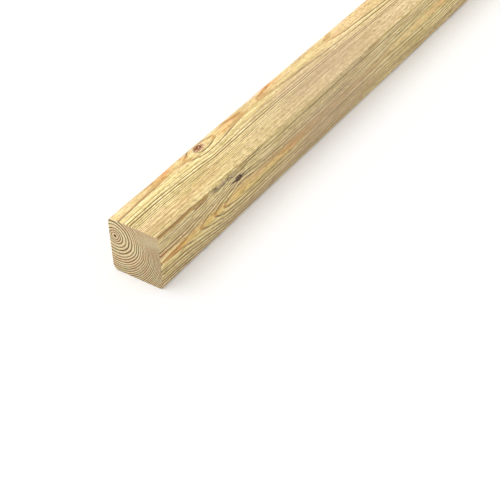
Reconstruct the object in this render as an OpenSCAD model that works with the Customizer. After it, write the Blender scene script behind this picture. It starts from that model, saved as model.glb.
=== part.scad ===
// Timber stud: one length of regularised softwood, sawn to a near-square section,
// with its four long edges (arrises) eased and its ends cut square.
// It lies on its bottom face. X is across the breadth, Y along the length and Z up.
// The origin is under the middle of the length, on the bottom face.

/* [Stick] */
// Length of the stud between its two square-cut ends
length = 2400; // [300:1:6000]
// Breadth of the section, across the stud as it lies
breadth = 47; // [25:0.5:100]
// Depth of the section, from the bottom face to the top face
depth = 50; // [25:0.5:150]

/* [Eased arrises] */
// Radius of the arris between the top face and the left face
arris_top_left = 3; // [0.5:0.5:10]
// Radius of the arris between the top face and the right face
arris_top_right = 2; // [0.5:0.5:10]
// Radius of the arris between the bottom face and the left face
arris_bottom_left = 5; // [0.5:0.5:10]
// Radius of the arris between the bottom face and the right face
arris_bottom_right = 2.5; // [0.5:0.5:10]

/* [Hidden] */
$fn = 96;

timber_colour = [0.89, 0.77, 0.54];
half_breadth = breadth / 2;

// The four corners of the section, anticlockwise from the bottom left, each as
// [corner point, direction along the edge that arrives, direction along the edge that leaves, radius].
// Both directions point from the corner into the section's sides.
corners = [
    [[-half_breadth, 0], [0, 1], [1, 0], arris_bottom_left],
    [[half_breadth, 0], [-1, 0], [0, 1], arris_bottom_right],
    [[half_breadth, depth], [0, -1], [-1, 0], arris_top_right],
    [[-half_breadth, depth], [1, 0], [0, -1], arris_top_left],
];

// Where a corner's arc meets the flat side before it, and the flat side after it
function arc_start(corner) = corner[0] + corner[3] * corner[1];
function arc_end(corner) = corner[0] + corner[3] * corner[2];
function arc_centre(corner) = corner[0] + corner[3] * (corner[1] + corner[2]);

// The flat sides and straight chords across the corners
module flats() {
    polygon([for (corner = corners) each [arc_start(corner), arc_end(corner)]]);
}

// The rounded material between a corner's chord and its arc
module eased_corner(corner) {
    translate(arc_centre(corner))
        circle(r = corner[3]);
}

// Cross section in the XZ plane, drawn with Z as the second axis
module section() {
    flats();
    for (corner = corners)
        eased_corner(corner);
}

// The section carried along the whole length, centred on the origin
module stud() {
    color(timber_colour)
        translate([0, length / 2, 0])
            rotate([90, 0, 0])
                linear_extrude(height = length)
                    section();
}

stud();
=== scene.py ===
# %% [markdown]
# A timber stud is the plainest piece of stock in a building: one length of softwood, sawn from a log,
# planed to an even section and eased along its four long edges. All of its character is in the wood.
# So this lesson builds the stick in two halves. First the solid: a box that is bevelled, divided and worn
# with Blender's own tools. Then the tree it was cut from: the pith, the yearly rings and the branches are
# worked out in space, and each point of the skin is told which year it grew in. Because every face is cut
# from the same tree, the lines on the faces run on into the rings on the ends, as they do on a real stick.

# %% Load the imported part
import math
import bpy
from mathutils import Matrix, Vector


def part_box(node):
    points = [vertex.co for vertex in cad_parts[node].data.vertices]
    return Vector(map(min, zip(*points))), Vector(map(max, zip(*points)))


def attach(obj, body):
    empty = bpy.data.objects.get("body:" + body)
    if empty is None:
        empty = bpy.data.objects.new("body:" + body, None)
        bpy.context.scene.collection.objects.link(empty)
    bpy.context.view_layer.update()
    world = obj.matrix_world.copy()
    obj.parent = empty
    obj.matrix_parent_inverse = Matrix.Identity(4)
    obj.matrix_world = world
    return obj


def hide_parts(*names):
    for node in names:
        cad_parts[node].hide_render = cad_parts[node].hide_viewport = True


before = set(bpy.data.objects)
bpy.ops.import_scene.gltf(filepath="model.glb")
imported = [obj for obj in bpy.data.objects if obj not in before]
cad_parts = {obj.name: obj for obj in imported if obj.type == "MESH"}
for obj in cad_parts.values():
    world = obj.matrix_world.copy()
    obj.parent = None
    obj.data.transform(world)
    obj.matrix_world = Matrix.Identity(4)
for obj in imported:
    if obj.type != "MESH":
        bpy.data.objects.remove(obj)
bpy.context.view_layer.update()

from types import SimpleNamespace

import bmesh
import bpy
import numpy as np
from mathutils import Matrix, Vector

MM = 0.001
low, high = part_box("stud")
breadth, length, depth = high - low
print(f"stud {breadth / MM:.1f} x {length / MM:.0f} x {depth / MM:.1f} mm")

# %% [markdown]
# The camera stands in front of the near end, to its right and above it, and looks along the stick. A long
# lens far away keeps the long edges nearly parallel. The aim is written as three angles, a turn to the left,
# a tilt down and a small roll, because each of them can be read off a picture by eye. A camera looks along
# its own -Z with +Y up, so three axes worked out from the angles make its matrix.

# %% The camera
CAMERA_FROM_NEAR_END = Vector((478.9, -530.8, 625.0)) * MM
CAMERA_TURN = math.radians(35.21)
CAMERA_TILT = math.radians(40.22)
CAMERA_ROLL = math.radians(-2.09)
CAMERA_LENS = 90.06
SENSOR_WIDTH = 36

bpy.ops.object.select_all(action="DESELECT")
bpy.ops.object.camera_add()
camera = bpy.context.active_object
level_ahead = Vector((-math.sin(CAMERA_TURN), math.cos(CAMERA_TURN), 0))
level_right = Vector((math.cos(CAMERA_TURN), math.sin(CAMERA_TURN), 0))
ahead = math.cos(CAMERA_TILT) * level_ahead - math.sin(CAMERA_TILT) * Vector((0, 0, 1))
level_up = level_right.cross(ahead)
camera_right = math.cos(CAMERA_ROLL) * level_right + math.sin(CAMERA_ROLL) * level_up
camera_up = math.cos(CAMERA_ROLL) * level_up - math.sin(CAMERA_ROLL) * level_right
near_foot = Vector(((low.x + high.x) / 2, low.y, low.z))
turn = Matrix((camera_right, camera_up, -ahead)).transposed().to_4x4()
camera.matrix_world = Matrix.Translation(near_foot + CAMERA_FROM_NEAR_END) @ turn
camera.data.lens = CAMERA_LENS
camera.data.sensor_width = SENSOR_WIDTH
bpy.context.scene.camera = camera
print("camera at", [round(value, 3) for value in camera.location])

# %% [markdown]
# Nodes are easier to read when a whole step fits on one line. These helpers add a node, fill in its inputs
# with numbers or with links, and hand back the socket that the next step needs. They are nearly all that
# the materials below use, so a finish can be read from top to bottom like a recipe.

# %% Small helpers for node trees
def add_node(tree, kind, inputs=None, **settings):
    """Adds a node, sets its options, and gives each named input a value or a link."""
    made = tree.nodes.new(kind)
    for name, value in settings.items():
        setattr(made, name, value)
    for name, value in (inputs or {}).items():
        if isinstance(value, bpy.types.NodeSocket):
            tree.links.new(value, made.inputs[name])
        else:
            made.inputs[name].default_value = value
    return made


def maths(tree, operation, *values):
    """One sum on numbers or sockets, such as ADD or SINE."""
    inputs = dict(enumerate(values))
    return add_node(tree, "ShaderNodeMath", inputs, operation=operation).outputs[0]


def times(tree, product, *others):
    """All the values multiplied together."""
    for other in others:
        product = maths(tree, "MULTIPLY", product, other)
    return product


def scaled(tree, value, factor, start):
    """A straight line: start where value is 0, and factor more for each 1 of it."""
    return maths(tree, "MULTIPLY_ADD", value, factor, start)


def between(tree, value, start, end):
    """A soft step: 0 where value is at start, 1 where it is at end."""
    inputs = {"Value": value, "From Min": start, "From Max": end}
    return add_node(tree, "ShaderNodeMapRange", inputs, interpolation_type="SMOOTHSTEP").outputs[0]


def blend_colour(tree, factor, first, second, blend_type="MIX"):
    """Mixes two colours. Sockets 6 and 7 are the node's colour inputs and output 2 is its colour."""
    inputs = {0: factor, 6: first, 7: second}
    made = add_node(tree, "ShaderNodeMix", inputs, data_type="RGBA", blend_type=blend_type)
    return made.outputs[2]


print("helpers for sums and colours ready")

# %% Helpers for noise, colours and materials
def stretched_noise(tree, place, across, along, detail=2.0, roughness=0.5):
    """Noise with so many cells to the metre across the grain, and so many along it."""
    mapping = {"Vector": place, "Scale": (across, along, across)}
    mapped = add_node(tree, "ShaderNodeMapping", mapping).outputs[0]
    inputs = {"Vector": mapped, "Scale": 1.0, "Detail": detail, "Roughness": roughness}
    return add_node(tree, "ShaderNodeTexNoise", inputs).outputs["Fac"]


def srgb(red, green, blue):
    """A colour as paint programs give it, from 0 to 255, turned into the linear values that shaders use."""
    shares = (value / 255 for value in (red, green, blue))
    linear = [s / 12.92 if s <= 0.04045 else ((s + 0.055) / 1.055) ** 2.4 for s in shares]
    return (*linear, 1.0)


def new_material(name):
    """An empty material, its node tree and its surface socket."""
    material = bpy.data.materials.new(name)
    material.use_nodes = True
    tree = material.node_tree
    tree.nodes.clear()
    surface = add_node(tree, "ShaderNodeOutputMaterial").inputs["Surface"]
    return material, tree, surface


print("material helpers ready")

# %% [markdown]
# A studio picture of stock stands on white. The floor is a plain pale sheet, far larger than the stick. To
# the light it is an ordinary matt white that bounces a little up onto the faces. To the camera it also
# glows faintly, which lifts it to white paper but leaves the shadow that ties the stick to the ground.

# %% The floor
FLOOR_SIZE = 30.0
FLOOR_GLOW = 0.18
PAPER_WHITE = (0.84, 0.84, 0.84, 1.0)


def seen_directly(tree):
    """1 for rays that show the background in the picture: straight, in a reflection or through glass."""
    light_path = add_node(tree, "ShaderNodeLightPath").outputs
    seen = maths(tree, "MAXIMUM", light_path["Is Camera Ray"], light_path["Is Glossy Ray"])
    return maths(tree, "MAXIMUM", seen, light_path["Is Transmission Ray"])


def floor_paper():
    """Matt white paper that glows a little to the camera."""
    material, tree, surface = new_material("floor_paper")
    paper = add_node(tree, "ShaderNodeBsdfDiffuse", {"Color": PAPER_WHITE}).outputs[0]
    glow = times(tree, seen_directly(tree), FLOOR_GLOW)
    lit = add_node(tree, "ShaderNodeEmission", {"Strength": glow}).outputs[0]
    both = add_node(tree, "ShaderNodeAddShader", {0: paper, 1: lit}).outputs[0]
    tree.links.new(both, surface)
    return material


bpy.ops.object.select_all(action="DESELECT")
bpy.ops.mesh.primitive_plane_add(size=FLOOR_SIZE, location=(0, 0, low.z))
floor = bpy.context.active_object
floor.name = "floor"
floor.data.materials.append(floor_paper())
print("floor", FLOOR_SIZE, "m across")

# %% [markdown]
# The light is soft and comes mostly from above, as under a big softbox: the top face is the brightest, and
# the right face and the end are about a third darker. One sun lamp with a wide angle gives the direction and
# a soft shadow that is the same all along the stick, and an even sky fills the rest. A surface that faces
# a sun of strength pi shows its own colour, so lamp strengths are written as shares of pi.

# %% Lamp and sky
SKY_LIGHT = 0.52
KEY_SHARE = 0.52
KEY_SOFTNESS = math.radians(50)
KEY_TOWARDS = Vector((0.25, 0.22, -1.0))

bpy.ops.object.select_all(action="DESELECT")
bpy.ops.object.light_add(type="SUN", location=(0, 0, 2))
key = bpy.context.active_object
key.name = "softbox"
key.data.energy = KEY_SHARE * math.pi
key.data.angle = KEY_SOFTNESS
key.rotation_euler = KEY_TOWARDS.to_track_quat("-Z", "Y").to_euler()

sky = bpy.data.worlds.new("studio")
sky.use_nodes = True
sky.node_tree.nodes.clear()
sky_seen = seen_directly(sky.node_tree)
sky_strength = scaled(sky.node_tree, sky_seen, 1.0 - SKY_LIGHT, SKY_LIGHT)
sky_inputs = {"Color": (1, 1, 1, 1), "Strength": sky_strength}
sky_shader = add_node(sky.node_tree, "ShaderNodeBackground", sky_inputs).outputs[0]
sky_out = add_node(sky.node_tree, "ShaderNodeOutputWorld")
sky.node_tree.links.new(sky_shader, sky_out.inputs["Surface"])
bpy.context.scene.world = sky
bpy.context.scene.view_settings.view_transform = "Standard"
print("key", round(key.data.energy, 2), "sky", SKY_LIGHT)

# %% [markdown]
# The solid starts as the sawyer's does, as a square-edged blank. A cube is added, sized and set in place,
# and its transform is applied, so that the mesh holds real metres and the object sits at the origin.

# %% The blank
bpy.ops.object.select_all(action="DESELECT")
bpy.ops.mesh.primitive_cube_add(size=1, location=(low + high) / 2)
stud = bpy.context.active_object
stud.name = "timber_stud"
stud.scale = (breadth, length, depth)
bpy.ops.object.transform_apply(location=True, rotation=False, scale=True)
bpy.ops.object.mode_set(mode="EDIT")
bpy.ops.mesh.select_mode(type="EDGE")
print("blank", [round(value / MM, 1) for value in stud.dimensions], "mm")

# %% [markdown]
# Operators act on what is selected, and by hand that is done with the mouse. In a script a test does it:
# these helpers clear the selection, ask the test about each edge or face, and select the ones it accepts.

# %% Choosing edges and faces
CLOSE = 0.01 * MM


def choose_edges(test):
    """Selects the edges whose two ends pass the test, and returns how many there are."""
    bpy.ops.mesh.select_mode(type="EDGE")
    bpy.ops.mesh.select_all(action="DESELECT")
    mesh = bmesh.from_edit_mesh(stud.data)
    for edge in mesh.edges:
        edge.select_set(test(edge.verts[0].co, edge.verts[1].co))
    mesh.select_flush_mode()
    bmesh.update_edit_mesh(stud.data)
    return sum(edge.select for edge in mesh.edges)


def choose_faces(test):
    """Selects the faces that pass the test, and returns how many there are."""
    bpy.ops.mesh.select_mode(type="FACE")
    bpy.ops.mesh.select_all(action="DESELECT")
    mesh = bmesh.from_edit_mesh(stud.data)
    for face in mesh.faces:
        face.select_set(test(face))
    bmesh.update_edit_mesh(stud.data)
    return sum(face.select for face in mesh.faces)


print("long edges:", choose_edges(lambda a, b: abs(a.y - b.y) > length / 2))

# %% [markdown]
# Planed studs have eased arrises, so that they don't splinter in the hand. The cutter never rides all four
# edges alike, and on this stick each has its own radius. Bevelling one edge at a time lets each keep its
# own. The segments are spread so that each arris is about as finely divided as the next.

# %% The eased arrises
ARRIS_SEGMENTS = {"bottom left": 8, "bottom right": 4, "top right": 6, "top left": 6}
arris_corners = {
    "bottom left": (low.x, low.z),
    "bottom right": (high.x, low.z),
    "top right": (high.x, high.z),
    "top left": (low.x, high.z),
}
cad_points = [vertex.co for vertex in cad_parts["stud"].data.vertices]


def eased_radius(x, z):
    """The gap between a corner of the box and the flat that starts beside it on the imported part."""
    return min(abs(point.z - z) for point in cad_points if abs(point.x - x) < CLOSE)


for name, (x, z) in arris_corners.items():
    corner = Vector((x, 0, z))
    radius = eased_radius(x, z)
    choose_edges(lambda a, b: all((Vector((p.x, 0, p.z)) - corner).length < CLOSE for p in (a, b)))
    bpy.ops.mesh.bevel(offset=radius, segments=ARRIS_SEGMENTS[name], profile=0.5, affect="EDGES")
    print(f"{name} arris eased to {radius / MM:.1f} mm")

# %% [markdown]
# The skin has to be fine where the wood has small relief and may be coarse elsewhere. The stick is bisected
# into stretches, and the long edges of each stretch are subdivided to a row spacing that suits it: finest
# along the torn arris, fine near the end that is seen closest and at every whorl of knots, and wide on the
# plain runs between. A cut at half the length lets the map for baking be laid out in two strips later.

# %% Rows along the stick
WHORLS = (109.3, 520.0, 905.0, 1330.0, 1720.0, 2120.0)
WHORL_REACH = 32.0
TORN = (64.0, 142.0)
CLOSE_VIEW = 330.0
FAR_END = 40.0
STRIPS = 2
ROWS_TORN = 0.9
ROWS_CLOSE = 1.5
ROWS_WHORL = 2.2
ROWS_FAR_END = 3.0
ROWS_PLAIN = 14.0
END_FACING = 0.9
length_mm = length / MM


def row_spacing(y):
    """How far apart the rows are, in mm, at a distance y from the near end."""
    if TORN[0] < y < TORN[1]:
        return ROWS_TORN
    if y < CLOSE_VIEW:
        return ROWS_CLOSE
    if any(abs(y - whorl) < WHORL_REACH for whorl in WHORLS):
        return ROWS_WHORL
    return ROWS_FAR_END if y > length_mm - FAR_END else ROWS_PLAIN


def faces_end(face):
    """True for a face that looks along the stick."""
    return abs(face.normal.y) > END_FACING


choose_faces(faces_end)
bpy.ops.mesh.delete(type="ONLY_FACE")
stations = {0.0, *TORN, CLOSE_VIEW, length_mm - FAR_END, length_mm}
stations |= {strip * length_mm / STRIPS for strip in range(1, STRIPS)}
stations |= {whorl + side * WHORL_REACH for whorl in WHORLS[1:] for side in (-1, 1)}
stations = sorted(stations)
for station in stations[1:-1]:
    bpy.ops.mesh.select_all(action="SELECT")
    bpy.ops.mesh.bisect(plane_co=(0, low.y + station * MM, 0), plane_no=(0, 1, 0))
for start, end in zip(stations, stations[1:]):
    middle = low.y + (start + end) / 2 * MM
    choose_edges(lambda a, b: abs(a.y - b.y) > CLOSE and min(a.y, b.y) < middle < max(a.y, b.y))
    rows = round((end - start) / row_spacing((start + end) / 2))
    bpy.ops.mesh.subdivide(number_cuts=max(rows - 1, 1))
print(len(stations) - 1, "stretches,", len(bmesh.from_edit_mesh(stud.data).faces), "faces so far")

# %% Columns across the four flats
FLAT_CUTS = 32
FLAT_AT_LEAST = 10 * MM

choose_edges(lambda a, b: abs(a.y - b.y) < CLOSE and (a - b).length > FLAT_AT_LEAST)
bpy.ops.mesh.subdivide(number_cuts=FLAT_CUTS)
print(len(bmesh.from_edit_mesh(stud.data).faces), "faces on the long sides")

# %% [markdown]
# The ends are cross-cut square. Each open loop is closed with a grid, which keeps the end's faces even and
# small, unlike one big polygon. A saw leaves a sharp edge, but handling takes the feather off it, so the
# rim gets a very small bevel. Without it the edge would catch no light at all.

# %% The cross-cut ends
RIM = 0.35 * MM
RIM_SEGMENTS = 2
ends = {"near": low.y, "far": high.y}

for name, end_y in ends.items():
    around = choose_edges(lambda a, b: max(abs(a.y - end_y), abs(b.y - end_y)) < CLOSE)
    mesh = bmesh.from_edit_mesh(stud.data)
    rim = [vertex for vertex in mesh.verts if vertex.select]
    mesh.select_history.clear()
    mesh.select_history.add(min(rim, key=lambda vertex: vertex.co.x + vertex.co.z))
    bpy.ops.mesh.fill_grid(span=around // 4, use_interp_simple=True)
    print(name, "end closed with a loop of", around)

bpy.ops.mesh.select_all(action="SELECT")
bpy.ops.mesh.normals_make_consistent(inside=False)
for end_y in ends.values():
    choose_faces(lambda face: faces_end(face) and abs(face.calc_center_median().y - end_y) < CLOSE)
    bpy.ops.mesh.region_to_loop()
    bpy.ops.mesh.bevel(offset=RIM, segments=RIM_SEGMENTS, profile=0.5, affect="EDGES")
print(len(bmesh.from_edit_mesh(stud.data).faces), "faces with the ends")

# %% [markdown]
# Now the tree. The sums are in millimetres, with y measured from the near end. The pith is the thread that
# the tree grew round. It lies near the left face here, sways, and steps aside at every whorl of branches.
# The seedling's first rings are small. The young tree then grew wide ones, until its neighbours closed in
# and the rings crowded, three times as fine. The outer rings also sag below the pith, because the tree put
# on more wood on that side. A few soft curves, one for each of these, stand for all of it.

# %% The pith
PITH = (-18.2, 34.6)
# Height and pitch of the sway across, and of the sway up and down
PITH_SWAY = ((0.3, 61.0), (-2.3, 95.0))
# How far the pith steps across and up at each whorl
WHORL_STEPS = ((3.2, 0.0), (-1.8, 0.8), (1.2, -0.9), (-1.5, 0.6), (1.0, 0.8), (-0.9, -1.0))
STEP_BEGINS_BEFORE = 87.0
STEP_ENDS_AFTER = 3.0


def soft_step(values, start, end):
    """0 below start, 1 above end, and smooth between."""
    share = np.clip((values - start) / (end - start), 0, 1)
    return share * share * (3 - 2 * share)


def pith_offset(points):
    """How far each point lies from the pith, across and up."""
    y = points[:, 1]
    pith_x, pith_z = (middle + sway * np.sin(y / pitch) for middle, (sway, pitch) in zip(PITH, PITH_SWAY))
    for whorl, (step_x, step_z) in zip(WHORLS, WHORL_STEPS):
        stepped = soft_step(y, whorl - STEP_BEGINS_BEFORE, whorl + STEP_ENDS_AFTER)
        pith_x += step_x * stepped
        pith_z += step_z * stepped
    return points[:, 0] - pith_x, points[:, 2] - pith_z


print("pith at the near end:", PITH, "mm")

# %% The rings
RING_WAVES = (
    # Share of the size, waves in a round, pitch along the stick, turn
    (0.008, 3, 160.0, 0.0),
    (0.005, 7, -90.0, 1.0),
)
# Radii that the waves and the sag grow between, and angles that the sag fades between
WAVES_GROW = (4.0, 12.0)
SAG = 0.19
SAG_GROWS = (8.0, 42.0)
SAG_FADES = (12.0, 34.0)
# Sizes of the rings, and years to the millimetre in them
SEEDLING = (1.0, 8.0)
WIDE_PACE = 0.32
CROWDED_FROM = 21.5
CROWDED_SOFTNESS = 3.0
CROWDED_PACE = 0.537
FINEST_FROM = 30.0
FINEST_PACE = 0.004
FIRST_YEAR = 0.37


def ring_size(across, up, y):
    """The size of the ring through a point: its distance from the ring's own sagging, wavy middle."""
    radius = np.hypot(across, up)
    angle = np.arctan2(up, across)
    wave = np.zeros(len(radius))
    for height, lobes, pitch, turned in RING_WAVES:
        wave += height * np.sin(lobes * angle + y / pitch + turned)
    below = 1 - soft_step(np.degrees(angle), *SAG_FADES)
    sag = SAG * radius * soft_step(radius, *SAG_GROWS) * below
    return np.hypot(across, up + sag) * (1 + wave * soft_step(radius, *WAVES_GROW))


def age(size):
    """The years from the pith to a ring of that size: small rings, then wide ones, then crowded ones."""
    seedling = soft_step(size, *SEEDLING) - 1
    crowded = CROWDED_SOFTNESS * np.logaddexp(0, (size - CROWDED_FROM) / CROWDED_SOFTNESS)
    finest = np.clip(size - FINEST_FROM, 0, None) ** 2
    return seedling + WIDE_PACE * size + CROWDED_PACE * crowded + FINEST_PACE * finest - FIRST_YEAR


bottom_right = np.array([[high.x / MM, 0.0, 0.0]])
rings_out = age(ring_size(*pith_offset(bottom_right), bottom_right[:, 1]))
print("rings to the bottom right corner:", rings_out.round(1))

# %% [markdown]
# A pine grows one whorl of branches a year. Each branch pulls the rings along with it, steeply on the side
# that points up the tree and in a long flame on the other, which draws the ovals round its knot. A living
# branch leaves a reddish knot. A dead one leaves a dark eye with tails along the grain. Branches are listed
# by whorl, each with its direction round the pith, its half width where it is cut, and how dead it was.

# %% Whorls and branches
BRANCH_LEAN = 0.167
BRANCHES = {
    WHORLS[0]: ((98, 1.9, 0.0), (9.9, 2.1, 1.0), (205, 1.4, 0.3), (291, 2.4, 0.6)),
    WHORLS[1]: ((35, 2.2, 0.2), (128, 1.6, 0.9), (286, 2.6, 0.0)),
    WHORLS[2]: ((72, 1.8, 1.0), (178, 1.3, 0.2), (330, 2.8, 0.1)),
    WHORLS[3]: ((8, 2.6, 0.0), (100, 1.7, 0.3), (236, 1.9, 1.0)),
    WHORLS[4]: ((54, 2.3, 0.1), (160, 1.5, 0.5), (284, 2.5, 0.9), (345, 2.0, 0.2)),
    WHORLS[5]: ((84, 2.0, 0.2), (214, 1.6, 0.8), (312, 2.7, 0.0)),
}


def seen_along_branch(points, root, degrees):
    """Each point as seen along a branch: sideways from it, along the grain, and out from the pith."""
    across, up = pith_offset(points)
    cosine, sine = math.cos(math.radians(degrees)), math.sin(math.radians(degrees))
    outwards = across * cosine + up * sine
    sideways = up * cosine - across * sine
    along = points[:, 1] - (root - BRANCH_LEAN * outwards)
    return sideways, along, outwards


print(sum(len(branches) for branches in BRANCHES.values()), "branches in", len(BRANCHES), "whorls")

# %% The knots and the pull of the branches
# Half widths and the pull's reaches are in branch widths, and a reach up the tree comes before one down it
PULL_YEARS = 1.6
PULL_WIDTH = 2.8
PULL_REACH = (2.9, 8.2)
PULL_GROWS = 10.0
SWELL_YEARS = 0.2
SWELL_WIDTH = 7.0
SWELL_REACH = (45.0, 110.0)
KNOT_STRETCH = 1.7
KNOT_BEGINS = 4.0
KNOT_REACH = 8.5
KNOTS_APART = 2.0
OUT_OF_SIGHT = 100.0


def branch_pull(sideways, along, outwards, width):
    """The years that one branch takes off the rings around it."""
    reach = np.where(along < 0, *PULL_REACH) * width
    fading = np.exp(1 - np.sqrt(1 + (sideways / (PULL_WIDTH * width)) ** 2 + (along / reach) ** 2))
    spread = np.where(along < 0, *SWELL_REACH)
    swell = np.exp(-(sideways / (SWELL_WIDTH * width)) ** 2 - (along / spread) ** 2)
    return (PULL_YEARS * fading + SWELL_YEARS * swell) * np.clip(outwards / PULL_GROWS, 0, 1)


def knot_fields(points):
    """The branches' pull, the view (sideways, along, near) of the closest knot, its kind and distance."""
    pull = np.zeros(len(points))
    view = np.zeros((len(points), 3))
    deadness = np.zeros(len(points))
    closest = np.full(len(points), np.inf)
    second = np.full(len(points), np.inf)
    for root, branches in BRANCHES.items():
        for degrees, width, dead in branches:
            sideways, along, outwards = seen_along_branch(points, root, degrees)
            pull += branch_pull(sideways, along, outwards, width)
            seen = np.stack([sideways, along], axis=1) / width
            hidden = np.where(outwards > KNOT_BEGINS, 0, OUT_OF_SIGHT)
            distance = np.hypot(seen[:, 0], seen[:, 1] / KNOT_STRETCH) + hidden
            nearer = distance < closest
            second = np.minimum(second, np.maximum(distance, closest))
            closest[nearer] = distance[nearer]
            view[nearer, :2] = seen[nearer]
            deadness[nearer] = dead
    view[:, 2] = (closest < KNOT_REACH) & (second - closest > KNOTS_APART)
    return pull, view, deadness, closest


print("a branch pulls", PULL_YEARS + SWELL_YEARS, "years at its middle")

# %% [markdown]
# Low ribs run along the trunk as well. A broad one on the right side swells before the first whorl and
# rises beyond it, and where it is sawn flat the lines close into pointed arches. One on the upper left
# rises and sinks like a wave, and draws pale flames along that edge.

# %% Ribs along the trunk
# Direction in degrees and half width of each rib, and the radii that it grows between
RIGHT_RIB = (-12, 7.0)
RIGHT_RIB_GROWS = (22.0, 40.0)
LEFT_RIB = (112, 4.0)
LEFT_RIB_GROWS = (7.0, 14.0)
# Years: at the least, in a bell with its middle and half width, and rising between two places
RIGHT_RIB_YEARS = 1.15
RIGHT_SWELLING = (0.3, 84.0, 9.0)
RIGHT_RISE = (0.35, 110.0, 200.0)
# Years, place of one hollow and pitch of the wave
LEFT_WAVE = (0.3, 78.0, 16.0)
# Length along the stick over which the rings shift by one year
YEAR_HEIGHT = 400.0


def bell(values, amount, middle, half_width):
    """A smooth hump: amount in the middle, and nearly 0 two half widths away."""
    return amount * np.exp(-((values - middle) / half_width) ** 2)


def climb(values, amount, start, end):
    """0 below start, amount above end, and smooth between."""
    return amount * soft_step(values, start, end)


def ridge(points, rib, grows):
    """A ridge along the trunk, given by its direction and width, that grows between two radii."""
    degrees, width = rib
    sideways, _, outwards = seen_along_branch(points, 0, degrees)
    return np.exp(1 - np.sqrt(1 + (sideways / width) ** 2)) * soft_step(outwards, *grows)


def rib_years(points):
    """Years that the trunk's two ribs take off."""
    y = points[:, 1]
    right_height = RIGHT_RIB_YEARS + bell(y, *RIGHT_SWELLING) + climb(y, *RIGHT_RISE)
    wave, hollow, pitch = LEFT_WAVE
    left_height = wave * (1 - np.cos((y - hollow) / pitch))
    right_years = right_height * ridge(points, RIGHT_RIB, RIGHT_RIB_GROWS)
    return right_years + left_height * ridge(points, LEFT_RIB, LEFT_RIB_GROWS)


def year_at(points):
    """The year in which each point grew."""
    across, up = pith_offset(points)
    years = age(ring_size(across, up, points[:, 1])) - points[:, 1] / YEAR_HEIGHT
    return years - knot_fields(points)[0] - rib_years(points)


print("year of the bottom right corner:", year_at(bottom_right).round(1))

# %% [markdown]
# A knot is only a few millimetres wide, so the skin is divided once more around each one, along the torn
# arris and round the pith on the ends. Where every face stands is read into an array, the tree model says
# which ones matter, and subdivide does the rest.

# %% Finer skin where the detail is
FINE_AROUND_KNOT = 3.2
FINE_AROUND_PITH = 7.0
TORN_WIDTH = 6.0
SIDE_FACING = 0.5


def in_mm(coordinates):
    """Blender coordinates as millimetres, with y from the near end."""
    return (np.asarray(coordinates) - (0, low.y, 0)) / MM


mesh = bmesh.from_edit_mesh(stud.data)
centres = in_mm([face.calc_center_median() for face in mesh.faces])
on_side = np.array([abs(face.normal.y) < SIDE_FACING for face in mesh.faces])
torn_gap = np.hypot(centres[:, 0] - high.x / MM, centres[:, 2] - high.z / MM)
torn_skin = (torn_gap < TORN_WIDTH) & (centres[:, 1] > TORN[0]) & (centres[:, 1] < TORN[1])
near_knot = knot_fields(centres)[3] < FINE_AROUND_KNOT
near_pith = np.hypot(*pith_offset(centres)) < FINE_AROUND_PITH
fine = ((near_knot | torn_skin) & on_side) | (near_pith & ~on_side)
choose_faces(lambda face: bool(fine[face.index]))
bpy.ops.mesh.subdivide(number_cuts=1)
bpy.ops.object.mode_set(mode="OBJECT")
triangles = sum(len(face.vertices) - 2 for face in stud.data.polygons)
print(int(fine.sum()), "faces divided once more;", triangles, "triangles in all")

# %% [markdown]
# The mesh can carry numbers on its points, called attributes, and a material can read them. The year that
# each point grew in is stored this way, with how boldly the rings show there, the stains, and the view of
# the nearest knot. Stains are short lists of soft blobs: orange where resin has risen beside the knots, gold
# in the arches, and grey where the surface has dulled. Three of the grey blobs are painted shade instead:
# they darken the bottom of the near right face, and the right and top faces a little further along.

# %% Stains and painted shade
ORANGE_STAINS = (
    # x, y, z of the middle, half length, half width, strength
    (-20.0, 66.0, 50.0, 9.0, 2.8, 0.7),
    (-20.0, 89.0, 50.0, 4.0, 2.2, 0.6),
    (-14.5, 138.0, 50.0, 9.0, 2.0, 0.6),
    (-19.0, 154.0, 50.0, 11.0, 2.6, 0.7),
    (-20.0, 207.0, 50.0, 16.0, 2.8, 0.7),
    (23.5, 4.0, 32.5, 6.0, 1.3, 0.8),
    (23.5, 22.0, 26.0, 17.0, 4.4, 0.3),
    (23.5, 180.0, 24.5, 22.0, 4.0, 0.35),
    (23.5, 470.0, 30.0, 70.0, 5.0, 0.5),
    (-23.5, 330.0, 32.0, 120.0, 4.0, 0.5),
    (-23.5, 860.0, 36.0, 90.0, 4.0, 0.6),
    (-6.0, 500.0, 0.0, 60.0, 4.0, 0.5),
    (23.5, 1290.0, 24.0, 90.0, 5.0, 0.6),
    (-17.0, 1240.0, 50.0, 80.0, 3.5, 0.5),
    (-23.5, 1700.0, 33.0, 140.0, 4.0, 0.5),
    (5.0, 1690.0, 0.0, 80.0, 4.0, 0.5),
    (23.5, 2080.0, 27.0, 90.0, 5.0, 0.55),
)
GOLD_STAINS = (
    (23.5, 30.0, 26.0, 24.0, 4.5, 0.5),
    (23.5, 66.0, 26.0, 12.0, 4.0, 0.5),
    (23.5, 102.0, 25.0, 30.0, 5.5, 0.5),
    (23.5, 178.0, 24.5, 36.0, 5.5, 0.55),
    (12.0, 60.0, 50.0, 60.0, 7.0, 0.25),
    (-23.5, 560.0, 34.0, 90.0, 6.0, 0.7),
    (3.0, 960.0, 50.0, 120.0, 7.0, 0.5),
    (23.5, 1360.0, 28.0, 110.0, 6.0, 0.8),
    (0.0, 1760.0, 0.0, 120.0, 8.0, 0.7),
    (23.5, 2170.0, 22.0, 110.0, 6.0, 0.7),
)
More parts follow.
